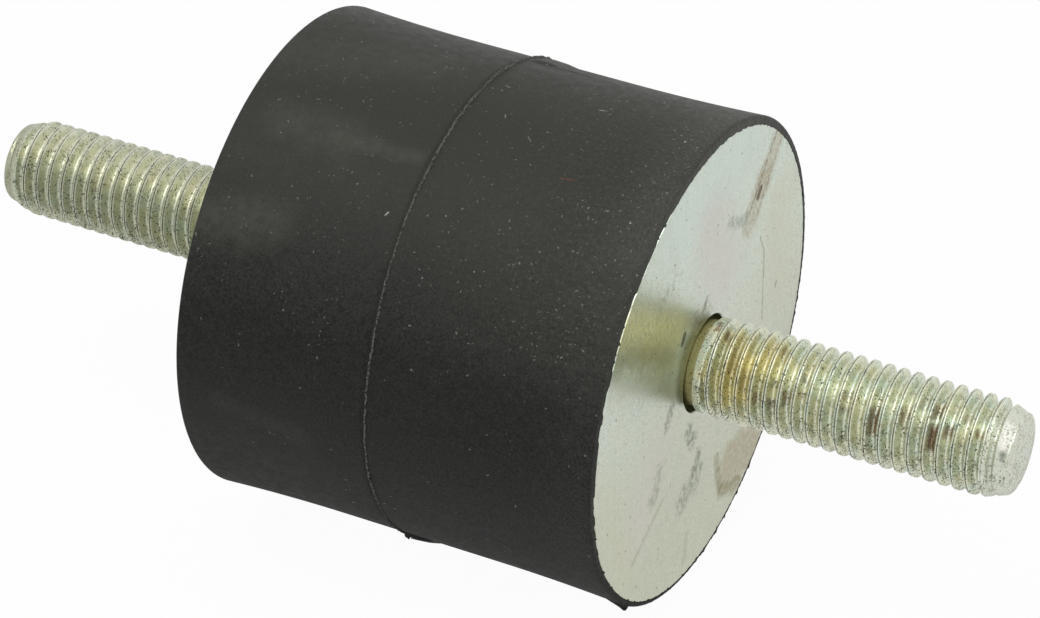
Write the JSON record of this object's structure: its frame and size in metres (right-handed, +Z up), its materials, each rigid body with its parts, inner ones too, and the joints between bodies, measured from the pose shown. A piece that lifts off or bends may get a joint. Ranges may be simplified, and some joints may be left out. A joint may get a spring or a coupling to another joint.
{
  "type": "radiator mount",
  "caption": "Cylindrical rubber vibration mount with a bonded steel plate and a threaded stud at each end, for carrying a radiator.",
  "frame": {"origin": "middle of the buffer on its axis, halfway between the two plate faces", "axes": "+X along the axis towards the front stud, +Z up as the buffer lies in the picture"},
  "size_m": [0.1116, 0.0498, 0.0498],
  "materials": {
    "black_rubber": "satin, dusty, as moulded",
    "zinc_plate": "zinc plated, semi-gloss, faint streaks and stains",
    "zinc_stud": "yellowed zinc, glossy crests, rust in the roots"
  },
  "bodies": {
    "root": {"rubber_body": "black_rubber", "front_plate": "zinc_plate", "rear_plate": "zinc_plate", "front_stud": "zinc_stud", "rear_stud": "zinc_stud"}
  },
  "joints": []
}
